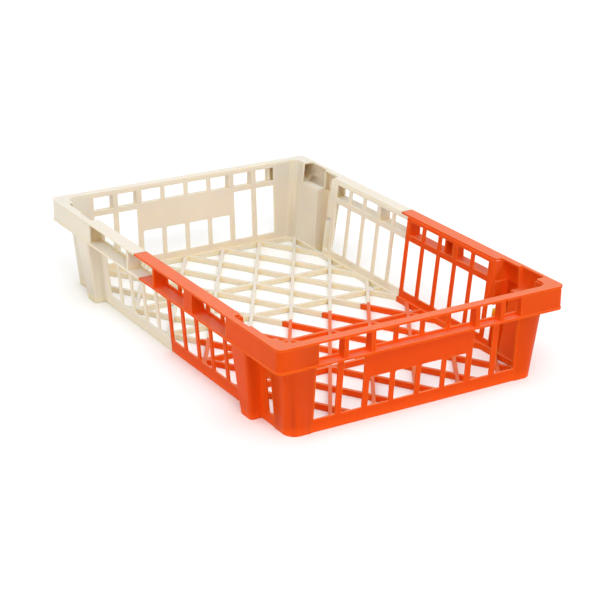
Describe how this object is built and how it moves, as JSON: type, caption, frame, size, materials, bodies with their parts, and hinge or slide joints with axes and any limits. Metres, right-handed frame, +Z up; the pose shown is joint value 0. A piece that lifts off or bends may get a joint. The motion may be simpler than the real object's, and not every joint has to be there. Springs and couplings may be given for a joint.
{
  "type": "stack and nest crate",
  "caption": "Shallow open-top dairy crate with slotted walls, a lattice floor, a ribbed rim and hollow nesting posts, moulded in two colours.",
  "frame": {"origin": "centre of the footprint, on the plane the crate rests on", "axes": "+X along the length towards the orange end, +Y across the width, +Z up"},
  "size_m": [0.6, 0.4, 0.12],
  "materials": {
    "ivory_plastic": "satin moulded polyethylene, slightly translucent",
    "orange_plastic": "satin moulded polyethylene, slightly translucent"
  },
  "bodies": {
    "root": {"corner_column_far_ivory": "ivory_plastic", "corner_column_far_orange": "orange_plastic", "corner_column_near_ivory": "ivory_plastic", "corner_column_near_orange": "orange_plastic", "end_wall_ivory": "ivory_plastic", "end_wall_orange": "orange_plastic", "floor_grid_ivory": "ivory_plastic", "floor_grid_orange": "orange_plastic", "nesting_post_far_ivory": "ivory_plastic", "nesting_post_far_orange": "orange_plastic", "nesting_post_near_ivory": "ivory_plastic", "nesting_post_near_orange": "orange_plastic", "rim_corner_far_ivory": "ivory_plastic", "rim_corner_far_orange": "orange_plastic", "rim_corner_near_ivory": "ivory_plastic", "rim_corner_near_orange": "orange_plastic", "rim_flange_end_ivory": "ivory_plastic", "rim_flange_end_orange": "orange_plastic", "rim_flange_far_ivory": "ivory_plastic", "rim_flange_far_orange": "orange_plastic", "rim_flange_near_ivory": "ivory_plastic", "rim_flange_near_orange": "orange_plastic", "rim_ledge_end_ivory": "ivory_plastic", "rim_ledge_end_orange": "orange_plastic", "rim_ledge_far_ivory": "ivory_plastic", "rim_ledge_far_orange": "orange_plastic", "rim_ledge_near_ivory": "ivory_plastic", "rim_ledge_near_orange": "orange_plastic", "rim_ribs_end_ivory": "ivory_plastic", "rim_ribs_end_orange": "orange_plastic", "rim_ribs_far_ivory": "ivory_plastic", "rim_ribs_far_orange": "orange_plastic", "rim_ribs_near_ivory": "ivory_plastic", "rim_ribs_near_orange": "orange_plastic", "side_wall_far_ivory": "ivory_plastic", "side_wall_far_orange": "orange_plastic", "side_wall_near_ivory": "ivory_plastic", "side_wall_near_orange": "orange_plastic"}
  },
  "joints": []
}
